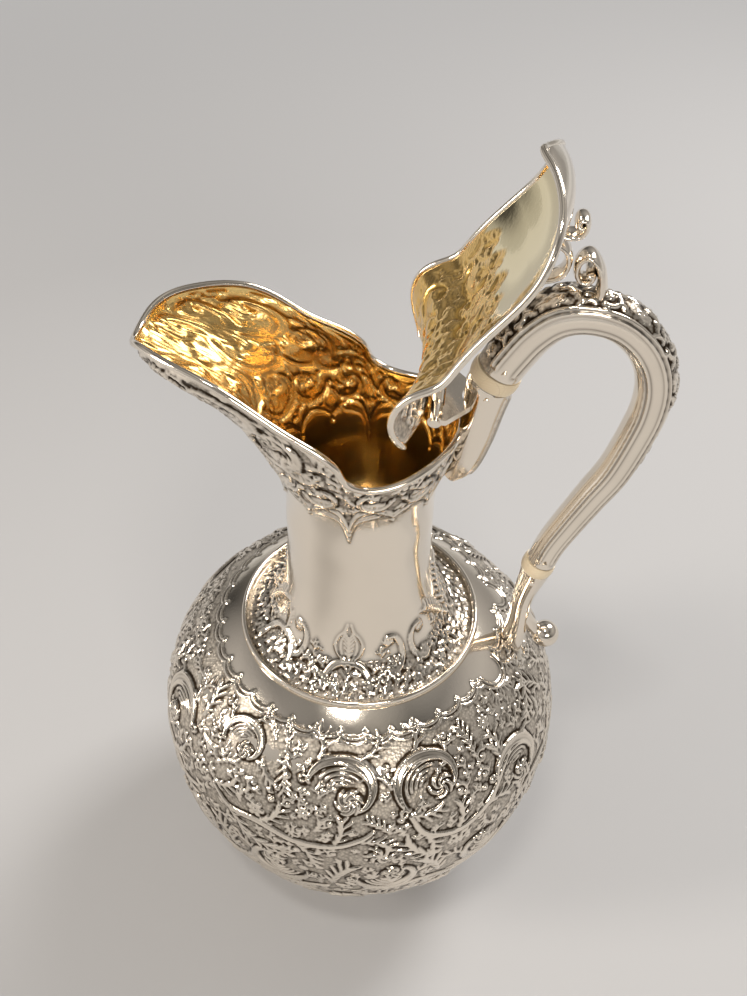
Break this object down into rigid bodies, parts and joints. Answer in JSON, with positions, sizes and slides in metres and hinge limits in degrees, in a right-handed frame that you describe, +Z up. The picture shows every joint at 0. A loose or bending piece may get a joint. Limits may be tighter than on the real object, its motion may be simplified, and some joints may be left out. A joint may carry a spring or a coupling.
{
  "type": "claret jug",
  "caption": "Silver claret jug with a raised ovoid body, leaf-shaped spout, hinged lid leaning on a scroll handle, and ivory insulating discs.",
  "frame": {"origin": "centre of the foot ring, on the surface that the jug stands on", "axes": "+Z up along the body's axis, +X towards the handle, -X towards the spout"},
  "size_m": [0.1642, 0.1494, 0.3147],
  "materials": {
    "silver": "hand-polished silver with warm tarnish in its chasing",
    "gilding": "gilding inside the lid and the mouth",
    "ivory": "polished ivory with fine grain"
  },
  "bodies": {
    "jug": {"body_shell": "silver", "foot_rim": "silver", "neck_spout": "silver", "shoulder_wire": "silver", "mouth_wire": "silver", "hinge_bracket": "silver", "hinge_pin": "silver", "upper_socket": "silver", "upper_insulator": "ivory", "handle": "silver", "handle_volute": "silver", "lower_insulator": "ivory", "lower_socket": "silver", "terminal_ball": "silver", "cross_pins": "silver"},
    "lid": {"lid_shell": "silver", "lid_wire": "silver", "lid_knuckle": "silver", "lid_scroll": "silver", "lid_loop": "silver"}
  },
  "joints": [
    {"name": "lid_hinge", "type": "hinge", "parent": "jug", "child": "lid", "pos_m": [0.023, 0, 0.2376], "axis": [0, -1, 0], "range_deg": [0, 95]}
  ]
}
